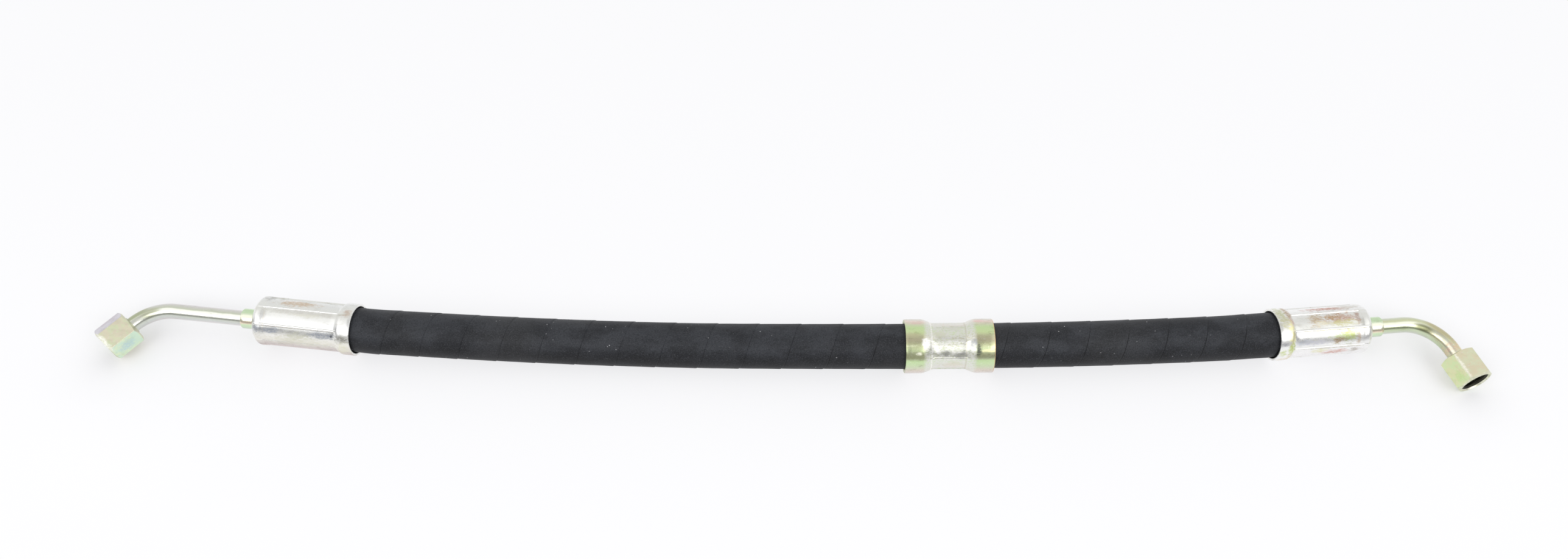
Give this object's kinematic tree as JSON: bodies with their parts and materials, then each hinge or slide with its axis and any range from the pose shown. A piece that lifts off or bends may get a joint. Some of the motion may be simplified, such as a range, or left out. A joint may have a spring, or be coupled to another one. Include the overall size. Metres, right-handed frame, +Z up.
{
  "type": "hydraulic hose assembly",
  "caption": "High-pressure rubber hose with a crimped ferrule, a bent steel tube and a loose union nut at each end and a crimped restrictor collar beyond the middle.",
  "frame": {"origin": "under the middle of the whole assembly, on the surface that it lies on", "axes": "+X from the left end to the right end along the hose, +Z up, -Y towards the side that both ends bend to"},
  "size_m": [0.7142, 0.0463, 0.0278],
  "materials": {
    "cover_rubber": "matte, with a wrapped-cloth grain",
    "liner_rubber": "smooth",
    "braid_wire": "brass-coated wire",
    "plated_steel": "satin, zinc plated with an iridescent yellow passivation",
    "stem_steel": "glossy, pale green-yellow zinc plating",
    "tube_steel": "glossy, olive-yellow zinc plating",
    "sleeve_steel": "satin, orange-yellow zinc plating",
    "nut_steel": "satin, green-yellow zinc plating",
    "bright_steel": "machined"
  },
  "bodies": {
    "hose_and_tubes": {"hose_inner_liner": "liner_rubber", "inner_wire_braid": "braid_wire", "braid_insulation": "liner_rubber", "outer_wire_braid": "braid_wire", "hose_cover": "cover_rubber", "mid_collar": "plated_steel", "mid_restrictor": "bright_steel", "left_ferrule": "plated_steel", "left_hose_stem": "stem_steel", "left_bent_tube": "tube_steel", "right_ferrule": "plated_steel", "right_hose_stem": "stem_steel", "right_bent_tube": "tube_steel"},
    "left_sleeve": {"left_flare_sleeve": "sleeve_steel"},
    "left_nut": {"left_union_nut": "nut_steel"},
    "right_sleeve": {"right_flare_sleeve": "sleeve_steel"},
    "right_nut": {"right_union_nut": "nut_steel"}
  },
  "joints": [
    {"name": "left_sleeve_slide", "type": "slide", "parent": "hose_and_tubes", "child": "left_sleeve", "axis": [-0.6725, -0.7283, -0.1313], "range_m": [0, 0.0044]},
    {"name": "left_nut_spin", "type": "hinge", "parent": "left_sleeve", "child": "left_nut", "pos_m": [-0.34649, 0.00197, 0.01051], "axis": [-0.6725, -0.7283, -0.1313], "continuous": true},
    {"name": "right_sleeve_slide", "type": "slide", "parent": "hose_and_tubes", "child": "right_sleeve", "axis": [0.3491, -0.9333, -0.0842], "range_m": [-0.0044, 0]},
    {"name": "right_nut_spin", "type": "hinge", "parent": "right_sleeve", "child": "right_nut", "pos_m": [0.34636, -0.01358, 0.00976], "axis": [0.3491, -0.9333, -0.0842], "continuous": true}
  ]
}
